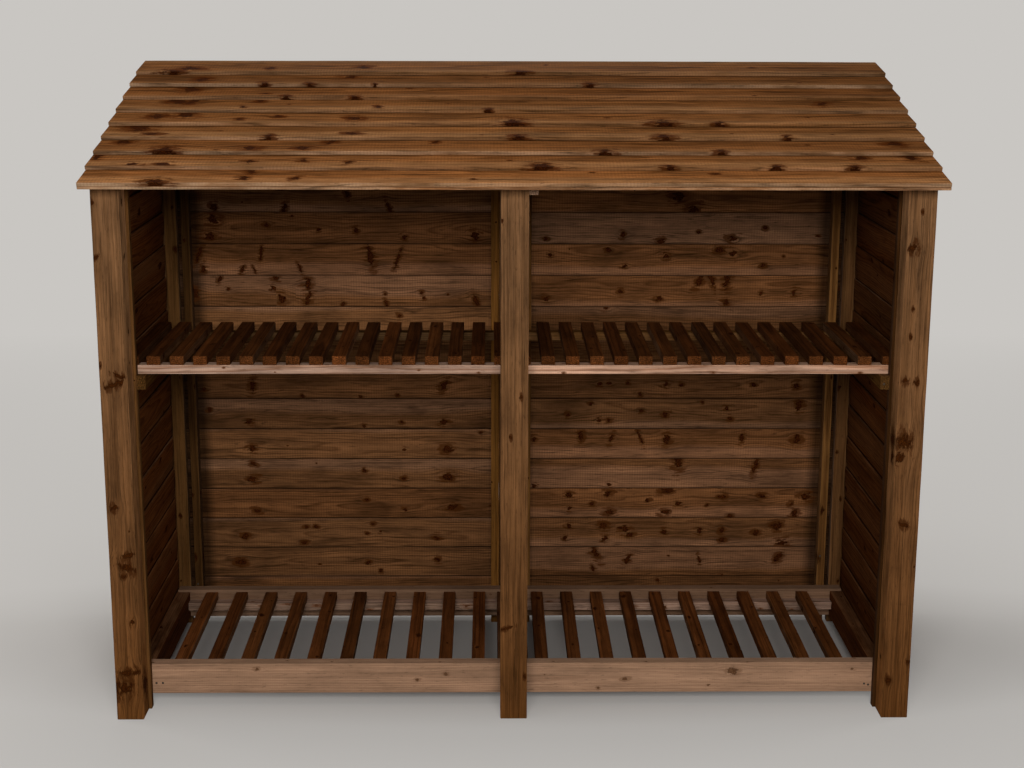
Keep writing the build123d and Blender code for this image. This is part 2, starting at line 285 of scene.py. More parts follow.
# sizes in mm, reaches in knot half sizes, shades as stops of a noise or a share
sawnFinish = {
    "early": "#704a2c", "late": "#54351d", "sapEarly": "#825b40", "sapLate": "#674830",
    "sapStart": 68.0, "sapSoft": 7.0, "ringWidth": 5.5, "wander": 34.0,  # rings coarser than life
    "ringShade": ((0, 0.05), (0.5, 0.2), (0.85, 1), (1, 0.15)),
    "ribSpacing": 5.0, "ribLean": (1, 0.1, 0.1), "ribWarp": 1.6,  # ribs coarser than life
    "ribPatch": ((0.42, 0.1), (0.58, 1)), "ribShade": ((0, 0.95), (1, 1.02)),
    "edge": "#9c7c5e", "edgeFree": 0.0, "edgeBreak": ((0.36, 0.35), (0.54, 1)),
    # lapLine, lapPaintedShade: width in mm and darkest tone of the painted shade along a lap
    "lapLine": 5.0, "lapPaintedShade": 0.25,
    "blotchShade": ((0.25, 0.68), (0.5, 1.0), (0.75, 1.22)), "streakShade": ((0.25, 0.72), (0.75, 1.26)),
    "fibreShade": ((0.25, 0.78), (0.72, 1.16)), "fleckEdge": (0.62, 0.7), "fleckShade": 0.72,
    "lineMiddle": 0.48, "lineWidth": 0.035, "lineShade": 0.62,
    "endShade": 0.8, "poreShare": ((0.6, 0), (0.9, 1)), "poreShade": ((0.38, 0.45), (0.64, 1.6)),
    "bendReach": (3.0, 1.8), "crookPush": (3.4, 3.2, 0),
    "smudge": "#351904", "smudgeReach": (2.5, 1.7), "smudgeEdge": (0.2, 0.38), "smudgeShare": 0.85,
    "ragged": (0.32, 0.68), "knot": "#220c02", "knotPale": "#5a2b0e",
    "knotRings": 19.0, "knotRingShare": ((0, 0), (1, 0.6)),
    "knotRim": ((0, 1), (0.6, 1), (0.82, 0.4), (1, 0.4)), "knotEdge": ((0, 1), (0.75, 1), (1, 0)),
    "ringRelief": 0.2, "fibreRelief": 0.5, "ribRelief": 0.1, "bump": 0.8,
    "roughness": (0.72, 0.92), "specular": 0.01,
}
woods = {
    "roofBoard": makeWood("dip_stained_sawn_roof_board", {
        **sawnFinish, "early": "#7e4f29", "late": "#593416", "sapEarly": "#8b5f3a", "sapLate": "#6b4624",
        # the roof boards' pale lower edges: the sawn edges' own paler colour, raised with painted light
        # where the lamps leave these down-facing edges dim
        "edge": "#b08d6d", "edgeFree": 1.0, "smudge": "#461e03", "smudgeShare": 0.88,
        "smudgeReach": (2.2, 1.8), "smudgeEdge": (0.15, 0.36), "ringWidth": 9.0, "ribSpacing": 9.0,
        "ribShade": ((0, 0.9), (1, 1.06)), "lineGap": 26.0, "lineShade": 0.5, "lineWidth": 0.04,
        "fleckShade": 0.6, "streakShade": ((0.25, 0.6), (0.75, 1.36)),
        "fibreShade": ((0.25, 0.66), (0.72, 1.26)),
        "blotchShade": ((0.25, 0.6), (0.5, 1.0), (0.75, 1.26))}),
    "backBoard": makeWood("dip_stained_sawn_back_board", {
        **sawnFinish, "ribSpacing": 8.0, "ribShade": ((0, 0.86), (1, 1.07)), "smudge": "#48240b",
        "smudgeShare": 0.8, "smudgeReach": (2.2, 2.1), "knot": "#240d03", "knotPale": "#6b3512",
        "lineShade": 0.5, "blotchShade": ((0.25, 0.4), (0.5, 1.0), (0.75, 1.5)), "wander": 48.0}),
    # side boards: darker and redder than the back boards, the stained wood's own colour with painted
    # shade of the dim inside of the store
    "sideBoard": makeWood("dip_stained_side_board_painted_shade", {
        **sawnFinish, "early": "#6b3d1b", "late": "#4f2a10", "sapEarly": "#754826", "sapLate": "#583419",
        "ribSpacing": 8.0}),
    "post": makeWood("dip_stained_sawn_post", {
        **sawnFinish, "early": "#6a4728", "late": "#5f3e21", "sapEarly": "#704e30", "sapLate": "#644428",
        # the post's edge colour, taken by its side faces, is painted light that brightens them
        "edge": "#a0744b", "ringWidth": 5.0, "wander": 12.0, "ribShade": ((0, 0.99), (1, 1.0)),
        "fibreShade": ((0.25, 0.66), (0.72, 1.24)), "smudge": "#40200a", "smudgeShare": 0.82,
        "knot": "#2c1305", "knotPale": "#63340f", "smudgeReach": (2.6, 1.4), "lineGap": 9.0,
        "lineShade": 0.55, "blotchShade": ((0.25, 0.56), (0.5, 1.0), (0.75, 1.32))}),
    "frameTimber": makeWood("dip_stained_sawn_batten", {
        **sawnFinish, "early": "#664521", "late": "#4f3216", "sapEarly": "#6e4b26", "sapLate": "#58391b",
        "wander": 12.0}),
    "floorRail": makeWood("pale_dip_stained_floor_rail", {
        **sawnFinish, "early": "#a98367", "late": "#98745a", "sapEarly": "#ad886d", "sapLate": "#9d7a61",
        "wander": 14.0, "streakShade": ((0.25, 0.84), (0.75, 1.14)), "lineShade": 0.85,
        "smudge": "#74523a", "smudgeShare": 0.55, "knot": "#583a25", "knotPale": "#8f694b"}),
    "shelfRail": makeWood("pale_dip_stained_shelf_rail", {
        **sawnFinish, "early": "#c09a82", "late": "#966d54", "sapEarly": "#c7a28c", "sapLate": "#9f7961",
        "wander": 26.0, "lineShade": 0.55, "smudge": "#7a5138", "knot": "#5a341d", "knotPale": "#8c5f42",
        "blotchShade": ((0.25, 0.5), (0.5, 1.0), (0.75, 1.36)),
        "streakShade": ((0.25, 0.6), (0.75, 1.36))}),
    "slat": makeWood("dark_dip_stained_slat", {
        **sawnFinish, "early": "#603619", "late": "#46250f", "sapEarly": "#663a1b", "sapLate": "#4c2a12",
        "wander": 12.0, "endShade": 1.25, "blotchShade": ((0.25, 0.55), (0.5, 1.0), (0.75, 1.45))}),
}
print("timber finishes made:", len(woods))

roofPitch = math.radians(16.7)
upSlope = Vector((0, math.cos(roofPitch), math.sin(roofPitch)))
offSlope = Vector((0, -math.sin(roofPitch), math.cos(roofPitch)))
alongX, alongY, alongZ = Vector((1, 0, 0)), Vector((0, 1, 0)), Vector((0, 0, 1))
bays, sides, ends = ("left", "right"), ("left", "middle", "right"), ("front", "rear")

# arris, space between cuts, bow and knot sizes in mm, metres from knot to knot
sawnTimber = {"arris": 1.4, "cut": 40, "bow": 0.6, "knotEvery": 0.3, "knotSize": (2, 6)}
railTimber = {**sawnTimber, "arris": 1.6, "cut": 30, "bow": 0.4, "knotSize": (2, 4),
              "slot": "rail_timber"}
slatTimber = {**sawnTimber, "wood": "slat", "slot": "slat_timber"}

# each kind of timber: its nodes, its length and width directions, finish and slot, and laps in mm
# shown: which of two lapped boards the front shows; shade: a tint for a whole node
# light: a tone for each timber of a node, from the lowest or the leftmost on; shade and light are partly
# the wood's own tone and partly painted light and shade
timberKinds = [
    {**sawnTimber, "nodes": ["roof_boards"], "along": alongX, "across": upSlope,
     "wood": "roofBoard", "slot": "roof_board", "cut": 30, "bow": 1.4, "shown": "upper", "lapReach": 16,
     "knotEvery": 0.5, "knotSize": (3, 7), "knotGrow": (1.35, 2.9),
     "pithShare": {"roof_boards": (0.35, 0.3, 0, 0.35, 0.05, 0.2, 0, 0, 0)},  # heart of each board
     "light": {"roof_boards": (1.4, 1.2, 1.05, 1.12, 1.11, 1.0, 0.89, 0.76, 0.93)},
     "edgePale": (  # at the left, middle and right of each board
         (1, 0.5, 0.8), (0.6, 0.06, 0.2), (0.8, 0.55, 0.55), (0.65, 0.05, 0.18), (0.42, 0.05, 0),
         (0.48, 0, 0.32), (0.34, 0, 0), (1, 0.1, 0.85), (0.28, 0, 0.28))},
    {**sawnTimber, "nodes": ["roof_eave_strip"], "along": alongX, "across": upSlope,
     "wood": "roofBoard", "slot": "roof_board", "arris": 1, "cut": 30,
     "knotEvery": 0.5, "knotSize": (2, 4),
     "light": {"roof_eave_strip": (1.44,)}, "edgePale": ((1, 0.5, 0.8),)},
    {**sawnTimber, "nodes": ["back_left_boards", "back_right_boards"], "along": alongX, "across": alongZ,
     "wood": "backBoard", "slot": "wall_board", "cut": 30, "bow": 1.2, "shown": "lower", "lap": 25.6,
     "knotEvery": 0.5, "knotSize": (2, 5), "knotGrow": (1.25, 1.4),
     # corner, cornerReach, cornerShade: which end of each back board is tucked behind the wall, how far
     # in mm, and its painted shade
     "corner": {"back_left_boards": -1, "back_right_boards": 1}, "cornerReach": 68, "cornerShade": 0.3,
     # outerLight: the most of a board's light tone that its outer face keeps, since part of that tone is
     # painted light for the inner face
     "outerLight": 1.2, "edgePale": ((0, 0, 0),) * 18,
     "pithShare": {
         "back_left_boards": (0, 0.2, 0, 0.1, -0.4, 0, -0.5, 0.1, 0, 0, -0.74, 0.93, 0.1, 0.75),
         "back_right_boards": (0.3, -1.1, 0.7, 0.75, 1.4, 0.95, 0.6, 0, 0, -0.3, 0.55, 0.7, -1.45, 0.2)},
     # painted light: the topmost board of each panel is brightened where the roof shades it
     "light": {
         "back_left_boards": (
             0.95, 1.1, 1.22, 1.0, 1.1, 1.32, 1.06, 1.32, 0.9, 1.45, 1.15, 1.22, 1.08, 1.4),
         "back_right_boards": (
             0.74, 0.97, 1.14, 1.2, 1.15, 1.22, 1.24, 1.18, 0.9, 0.72, 1.12, 1.36, 1.27, 1.9)}},
    {**sawnTimber, "nodes": ["left_side_boards", "right_side_boards"], "along": alongY, "across": alongZ,
     "wood": "sideBoard", "slot": "wall_board", "cut": 30, "bow": 1.2, "lap": 22.7,
     "knotEvery": 0.16, "knotSize": (2, 9),
     "shade": {"left_side_boards": (1.07, 1.08, 1.14), "right_side_boards": (0.9, 0.9, 0.94)}},
    {**sawnTimber, "nodes": [end + "_" + side + "_post" for end in ("front", "back") for side in sides],
     "along": alongZ, "across": alongX, "wood": "post", "slot": "post_timber", "arris": 2.2, "bow": 0.8,
     # edgePale: the posts' side faces take most of the paler edge colour, painted light
     "knotEvery": 0.7, "knotSize": (2, 5), "edgePale": ((0.8, 0.8, 0.8),),
     "startTint": (0.83, 0.68, 0.47), "endTint": (1.34, 1.42, 1.6)},  # darker and warmer at the foot
    {**sawnTimber, "nodes": [
        "front_left_stile", "front_middle_stile", "front_right_stile",
        "back_left_stile", "back_right_stile", "back_left_inner_batten", "back_left_outer_batten",
        "back_right_inner_batten", "back_right_outer_batten"],
     "along": alongZ, "across": alongX, "wood": "frameTimber", "slot": "frame_timber", "shade": {
         # painted shade: front_right_stile and back_left_outer_batten are darkened for the shade they
         # stand in
         "front_left_stile": (1.15, 1.1, 1.2), "front_right_stile": (0.4, 0.36, 0.4),
         "back_left_stile": (0.85, 0.85, 0.95), "back_right_stile": (1.3, 1.3, 1.7),
         "back_left_inner_batten": (1.3, 1.25, 1.0), "back_left_outer_batten": (0.5, 0.5, 0.55),
         "back_right_outer_batten": (1.6, 1.6, 1.72)}},
    {**sawnTimber, "nodes": ["floor_" + bay + "_" + end + "_ledger" for bay in bays for end in ends],
     "along": alongX, "across": alongY, "wood": "shelfRail", "slot": "frame_timber", "bow": 0.4,
     "knotEvery": 0.2, "knotSize": (3, 8),
     "light": {"floor_left_rear_ledger": (0.72,), "floor_right_rear_ledger": (0.73,)}},
    {**sawnTimber, "nodes": ["shelf_" + side + "_bearer" for side in sides], "along": alongY,
     "across": alongZ, "wood": "frameTimber", "slot": "frame_timber", "bow": 0.3},
    {**sawnTimber, "nodes": ["roof_" + side + "_rafter" for side in sides], "along": upSlope,
     "across": offSlope, "wood": "floorRail", "slot": "frame_timber", "bow": 0.3},
    {**railTimber, "nodes": ["floor_" + bay + "_" + end + "_rail" for bay in bays for end in ends],
     "along": alongX, "across": alongZ, "wood": "floorRail",
     "light": {"floor_left_front_rail": (1.0,), "floor_right_front_rail": (1.05,),
               "floor_left_rear_rail": (0.53,), "floor_right_rear_rail": (0.53,)}},
    {**railTimber, "nodes": ["shelf_left_front_rail", "shelf_right_front_rail"], "along": alongX,
     "across": alongZ, "wood": "shelfRail",
     "light": {"shelf_left_front_rail": (1.06,), "shelf_right_front_rail": (1.12,)}},
    {**railTimber, "nodes": ["shelf_left_rear_rail", "shelf_right_rear_rail"], "along": alongX,
     "across": alongY, "wood": "frameTimber",
     "light": {"shelf_left_rear_rail": (0.6,), "shelf_right_rear_rail": (1.1,)}},
    {**slatTimber, "nodes": ["floor_left_slats", "floor_right_slats"], "along": alongY, "across": alongX,
     "light": {
         "floor_left_slats": (1.5, 1.05, 1.15, 1.25, 1.2, 0.85, 1.3, 1.25, 1.0, 1.15),
         "floor_right_slats": (1.2, 1.0, 1.3, 1.1, 1.05, 1.3, 0.95, 1.15, 1.25, 1.0)}},
    {**slatTimber, "nodes": ["shelf_left_slats", "shelf_right_slats"], "along": alongY, "across": alongX,
     # painted shade: the shelf slats are toned darker than the floor slats, the first on the left most of
     # all
     "light": {
         "shelf_left_slats": (
             0.5, 0.8, 0.95, 0.95, 0.7, 0.85, 0.7, 0.7, 0.8, 1.15, 0.6, 0.95, 0.75, 1.0, 0.75, 0.65, 0.8),
         "shelf_right_slats": (
             0.7, 0.6, 0.8, 0.9, 0.65, 0.8, 0.9, 0.8, 0.65, 0.85, 0.75, 0.9, 0.7, 0.8, 0.9, 0.7, 0.6)}},
    {**slatTimber, "nodes": ["floor_left_end_rails", "floor_right_end_rails"], "along": alongY,
     "across": alongZ,
     "shade": {"floor_left_end_rails": (0.7, 0.65, 0.6), "floor_right_end_rails": (0.7, 0.65, 0.6)}},
]

# knots read off the photograph: pixel, then half length along and half height across the grain, mm
photoKnots = {
    "roof_boards": [
        (163, 153, 20, 13), (139, 125, 19, 11), (157, 114, 17, 8), (186, 112, 17, 11), (178, 98, 19, 10),
        (194, 98, 11, 11), (191, 86, 17, 10), (203, 78, 14, 9), (191, 67, 22, 8), (172, 72, 20, 8),
        (264, 84, 8, 7), (310, 85, 7, 6), (375, 84, 5, 5), (350, 74, 14, 6), (363, 65, 14, 6),
        (270, 67, 9, 5), (260, 98, 9, 5), (287, 96, 9, 6), (354, 98, 9, 5), (243, 106, 6, 4),
        (378, 106, 7, 5), (239, 118, 7, 4), (278, 114, 9, 4), (354, 116, 15, 7), (150, 133, 15, 5),
        (268, 135, 9, 5), (352, 132, 13, 5), (330, 139, 10, 8), (123, 139, 13, 6), (250, 147, 15, 6),
        (303, 147, 13, 6), (97, 154, 8, 8), (250, 160, 9, 5), (303, 158, 8, 5), (163, 164, 13, 5),
        (132, 164, 12, 5), (348, 161, 7, 5), (251, 169, 8, 7), (243, 177, 9, 5), (296, 177, 7, 5),
        (155, 181, 18, 7), (141, 187, 8, 6), (513, 122, 20, 12), (519, 137, 13, 8), (543, 166, 18, 11),
        (533, 188, 10, 5), (604, 186, 7, 4), (606, 153, 14, 8), (663, 125, 20, 12), (665, 138, 15, 9),
        (591, 85, 9, 7), (488, 110, 7, 5), (435, 139, 7, 5), (521, 72, 16, 6), (670, 167, 10, 6),
        (720, 125, 9, 6), (822, 101, 11, 8), (860, 155, 12, 6), (912, 155, 11, 8), (722, 154, 9, 6),
        (875, 186, 16, 5), (770, 186, 7, 4), (787, 136, 7, 5), (895, 141, 16, 7), (777, 168, 10, 6),
        (856, 168, 10, 6)],
    "back_left_boards": [
        (213, 207, 8, 9), (284, 208, 6, 14), (389, 208, 5, 14), (347, 194, 5, 9), (213, 220, 13, 12),
        (209, 236, 13, 9), (266, 225, 6, 5), (318, 230, 6, 4), (356, 230, 6, 6), (404, 237, 6, 6),
        (475, 236, 9, 9), (261, 252, 4, 18), (199, 254, 5, 18), (370, 256, 9, 28), (398, 259, 5, 24),
        (242, 270, 5, 10), (254, 270, 3, 9), (300, 269, 4, 12), (203, 270, 6, 10), (220, 279, 5, 8),
        (275, 278, 9, 5), (273, 288, 8, 7), (281, 299, 9, 13), (307, 284, 11, 14), (308, 298, 8, 15),
        (228, 289, 5, 4), (195, 294, 8, 10), (421, 293, 5, 5), (385, 294, 4, 4), (386, 304, 4, 8),
        (424, 298, 4, 4), (448, 295, 3, 3), (476, 301, 6, 12), (343, 305, 5, 5), (399, 316, 5, 5),
        (252, 449, 11, 8), (253, 464, 8, 6), (253, 480, 12, 8), (257, 511, 9, 7), (249, 422, 9, 7),
        (252, 387, 7, 16), (209, 410, 6, 5), (204, 389, 6, 6), (448, 450, 14, 9), (448, 477, 14, 9),
        (452, 508, 14, 8), (444, 423, 10, 7), (444, 386, 8, 14), (404, 450, 6, 4), (404, 479, 6, 5),
        (405, 510, 6, 5), (365, 471, 6, 5), (366, 500, 6, 5), (401, 422, 6, 4), (364, 427, 5, 4),
        (302, 397, 4, 4), (360, 397, 5, 4), (398, 395, 5, 4), (306, 527, 6, 4), (316, 527, 6, 4),
        (304, 543, 7, 5), (245, 537, 9, 7), (241, 562, 12, 9), (373, 524, 5, 4), (367, 534, 5, 4),
        (368, 563, 7, 6), (437, 538, 8, 6), (438, 560, 8, 6), (381, 571, 5, 5), (381, 532, 4, 3)],
    "back_right_boards": [
        (679, 197, 15, 11), (694, 210, 14, 11), (546, 239, 6, 5), (623, 235, 6, 6), (609, 250, 7, 6),
        (550, 255, 6, 5), (625, 266, 7, 5), (661, 241, 9, 7), (666, 256, 8, 7), (733, 239, 12, 9),
        (720, 250, 10, 7), (733, 253, 9, 8), (763, 266, 6, 5), (700, 281, 8, 14), (711, 279, 7, 18),
        (727, 281, 9, 22), (620, 292, 7, 6), (546, 299, 7, 6), (659, 299, 8, 6), (794, 293, 7, 7),
        (761, 294, 5, 5), (605, 308, 7, 5), (726, 303, 9, 8), (766, 228, 5, 5), (591, 404, 5, 5),
        (568, 415, 5, 5), (599, 421, 6, 5), (609, 421, 7, 5), (641, 411, 6, 5), (640, 395, 5, 5),
        (666, 385, 8, 6), (681, 385, 6, 5), (600, 384, 6, 6), (610, 383, 6, 5), (628, 383, 4, 4),
        (666, 415, 7, 6), (702, 402, 4, 4), (727, 408, 6, 5), (730, 419, 6, 5), (754, 385, 6, 5),
        (797, 386, 8, 8), (799, 405, 10, 13), (678, 460, 11, 22), (756, 464, 6, 24), (581, 436, 7, 12),
        (611, 439, 5, 11), (640, 437, 4, 15), (667, 439, 9, 12), (742, 438, 5, 11), (797, 439, 10, 12),
        (534, 439, 6, 6), (534, 486, 6, 6), (569, 495, 9, 7), (607, 494, 13, 8), (609, 485, 7, 5),
        (667, 490, 14, 9), (722, 497, 9, 6), (762, 496, 9, 7), (805, 497, 13, 9), (592, 504, 6, 4),
        (648, 500, 6, 5), (678, 504, 7, 5), (707, 506, 4, 4), (791, 505, 6, 6), (569, 509, 6, 5),
        (609, 513, 11, 8), (666, 513, 12, 8), (730, 517, 7, 6), (795, 514, 9, 8), (569, 526, 8, 6),
        (603, 526, 12, 9), (624, 529, 13, 9), (630, 535, 9, 6), (664, 532, 7, 6), (699, 531, 8, 7),
        (722, 530, 7, 7), (722, 540, 9, 6), (756, 533, 8, 7), (777, 526, 13, 9), (782, 543, 13, 9),
        (565, 539, 6, 5), (605, 539, 8, 7), (595, 553, 9, 17), (628, 559, 7, 12), (699, 559, 4, 10),
        (778, 557, 8, 12), (722, 576, 5, 6), (593, 569, 5, 9), (658, 580, 5, 5)],
    "front_left_post": [
        (92, 203, 6, 7), (95, 258, 5, 9), (100, 366, 5, 5), (113, 385, 9, 30), (119, 376, 6, 20),
        (114, 508, 8, 12), (127, 568, 11, 24), (126, 556, 7, 24), (123, 577, 5, 8), (133, 622, 8, 8),
        (125, 688, 20, 26), (130, 673, 9, 30)],
    "front_middle_post": [
        (502, 221, 6, 5), (521, 397, 7, 5), (525, 676, 6, 5), (508, 628, 4, 20)],
    "front_right_post": [
        (913, 248, 11, 16), (906, 253, 6, 10), (923, 212, 4, 4), (913, 309, 5, 5), (911, 337, 6, 5),
        (906, 381, 7, 9), (917, 383, 8, 9), (904, 443, 19, 25), (898, 458, 16, 14), (904, 525, 7, 14),
        (914, 567, 4, 4), (908, 662, 6, 8), (888, 680, 9, 8)],
    "floor_left_front_rail": [
        (257, 669, 6, 5), (446, 674, 6, 5), (417, 680, 5, 4)],
    "floor_right_front_rail": [
        (732, 671, 15, 11), (625, 679, 8, 5), (598, 688, 4, 4), (852, 669, 5, 4)],
}

# how timbers are cut and how single ones differ: merging in mm, angles in degrees, places in metres,
# sides as shares of the half width, tones as factors
timberMake = {
    "merge": 0.01, "flatAngle": 0.3, "arrisSteps": 2, "endTurn": 0.8, "lapTurn": 0.5,
    "countLean": 0.37,  # timbers of one height are counted sideways
    "pithStart": (-3, 3), "pithSide": (-1.2, 1.2), "pithDepth": (0.02, 0.05), "setPithDepth": 0.035,
    "grainStep": 1.7, "light": (0.86, 1.14), "warm": (-0.05, 0.05), "edgePale": (0, 0.3),
    "knotStart": (0.1, 1), "knotStep": (0.4, 1.6), "knotSide": (-0.9, 0.9), "knotStretch": (1.0, 1.7),
    "knotApart": 0.06, "knotFace": 0.012, "spikeShape": 1.5, "spikeLean": 0.4, "spikeTurn": 90,
    "slowBow": {"wave": 2.2, "bySeed": 3.1, "byIndex": 1.3, "layer": 0.5},
    "quickBow": {"wave": 13, "bySeed": 2.3, "byIndex": 1.9, "layer": 4.5}, "quickShare": 0.6,
}
farKnot = (99, 99, 0)  # a face with no knot near it


def cutTimbers(node, kind):  # the node's own solids with worn arrises, cut across so that they can bow
    along = kind["along"]
    bm = bmesh.new()
    bm.from_mesh(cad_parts[node].data)
    bmesh.ops.remove_doubles(bm, verts=bm.verts, dist=timberMake["merge"] * mm)
    bmesh.ops.dissolve_limit(bm, angle_limit=math.radians(timberMake["flatAngle"]), verts=bm.verts,
                             edges=bm.edges)
    bmesh.ops.bevel(bm, geom=bm.edges[:], offset=kind["arris"] * mm, offset_type="OFFSET",
                    segments=timberMake["arrisSteps"], profile=0.5, affect="EDGES", material=-1,
                    clamp_overlap=True)
    places = [vert.co.dot(along) for vert in bm.verts]
    first, last = min(places), max(places)
    count = max(2, round((last - first) / (kind["cut"] * mm)))
    for i in range(1, count):
        bmesh.ops.bisect_plane(bm, geom=bm.verts[:] + bm.edges[:] + bm.faces[:],
                               plane_co=along * (first + (last - first) * i / count), plane_no=along)
    bm.normal_update()
    return bm


def findTimbers(bm, ways):  # groups of joined vertices, one for each board or bar, in order across
    waiting = set(bm.verts)
    timbers = []
    for start in bm.verts:
        if start not in waiting:
            continue
        waiting.discard(start)
        verts = [start]
        for vert in verts:
            for edge in vert.link_edges:
                other = edge.other_vert(vert)
                if other in waiting:
                    waiting.discard(other)
                    verts.append(other)
        centre = sum((vert.co for vert in verts), Vector()) / len(verts)
        spans = [[(vert.co - centre).dot(way) for vert in verts] for way in ways]
        middle = centre + sum((way * (min(span) + max(span)) / 2 for way, span in zip(ways, spans)),
                              Vector())
        timbers.append({"verts": verts, "middle": middle, "broad": [], "narrow": [],
                        "size": [(max(span) - min(span)) / 2 for span in spans]})
    countWay = ways[1] + ways[2] * timberMake["countLean"]
    timbers.sort(key=lambda timber: timber["middle"].dot(countWay))
    return timbers


def setPhotoKnots(node, kind, timbers, ways):  # each knot goes to the timber that shows at its pixel
    along, across, through = ways
    lapReach = kind.get("lapReach", 0) * mm
    grow = kind.get("knotGrow", (1, 1))
    for px, py, halfLength, halfHeight in photoKnots.get(node, []):
        carriers = []
        for timber in timbers:
            middle, size = timber["middle"], timber["size"]
            facing = through if through.dot(camera.location - middle) > 0 else -through
            spot = photoSpot(px, py, middle + facing * size[2], facing) - middle
            place, height = spot.dot(along), spot.dot(across)
            if abs(place) < size[0] and abs(height) < size[1] + lapReach:
                height = min(max(height, -size[1]), size[1])
                carriers.append((timber, (place, height, halfLength * grow[0] * mm,
                                          halfHeight * grow[1] * mm)))
        if carriers:
            timber, knot = carriers[-1 if kind.get("shown") == "upper" else 0]
            timber["broad"].append(knot)


def growKnots(kind, timber, rng):  # the other knots: place, side, half length and half height
    size = timber["size"]
    smallest, largest = kind["knotSize"]
    for side, width in (("broad", size[1]), ("narrow", size[2])):
        place = -size[0] + rng.uniform(*timberMake["knotStart"]) * kind["knotEvery"]
        while place < size[0] and (side == "broad" or width > timberMake["knotFace"]):
            radius = (smallest + (largest - smallest) * rng.random() ** 2) * mm
            knot = (place, rng.uniform(*timberMake["knotSide"]) * width,
                    radius * rng.uniform(*timberMake["knotStretch"]), radius)
            if all(abs(knot[0] - other[0]) > timberMake["knotApart"] for other in timber[side]):
                timber[side].append(knot)
            place += rng.uniform(*timberMake["knotStep"]) * kind["knotEvery"]
    for knot in timber["broad"]:  # a knot at the edge of a board shows on the edge too
        if size[1] - abs(knot[1]) < knot[3]:
            timber["narrow"].append((knot[0], 0, knot[2], knot[3]))
    for side in ("broad", "narrow"):
        timber[side].sort()


